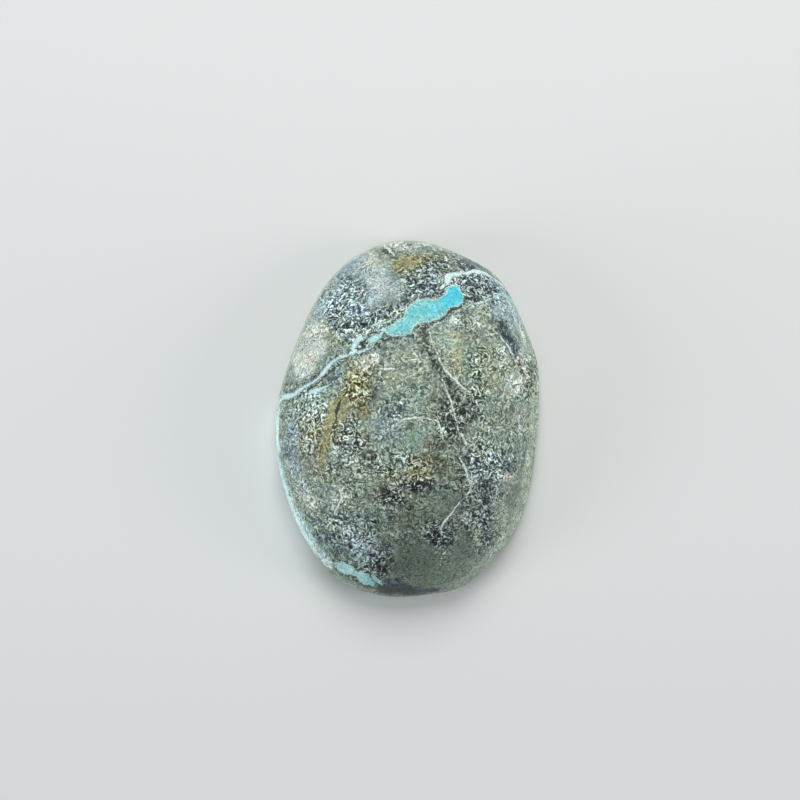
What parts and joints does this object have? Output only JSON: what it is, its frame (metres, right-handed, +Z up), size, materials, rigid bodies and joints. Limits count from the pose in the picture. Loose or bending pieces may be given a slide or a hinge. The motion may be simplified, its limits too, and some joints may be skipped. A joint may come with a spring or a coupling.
{
  "type": "turquoise cabochon",
  "caption": "Oval domed stone, ground and polished from host rock crossed by a turquoise vein, with a flat back to lie or be set on.",
  "frame": {"origin": "middle of the flat back, on the surface that the stone rests on", "axes": "+Y along the oval's long axis towards the end with the turquoise vein, +Z up through the dome, +X to the right seen from above"},
  "size_m": [0.0216, 0.0296, 0.0086],
  "materials": {
    "polished_stone": "satin-polished grey-green host rock with slate-blue and ochre stains, pale fracture lines and a turquoise vein; matte ground back"
  },
  "bodies": {
    "root": {"turquoise_stone": "polished_stone"}
  },
  "joints": []
}
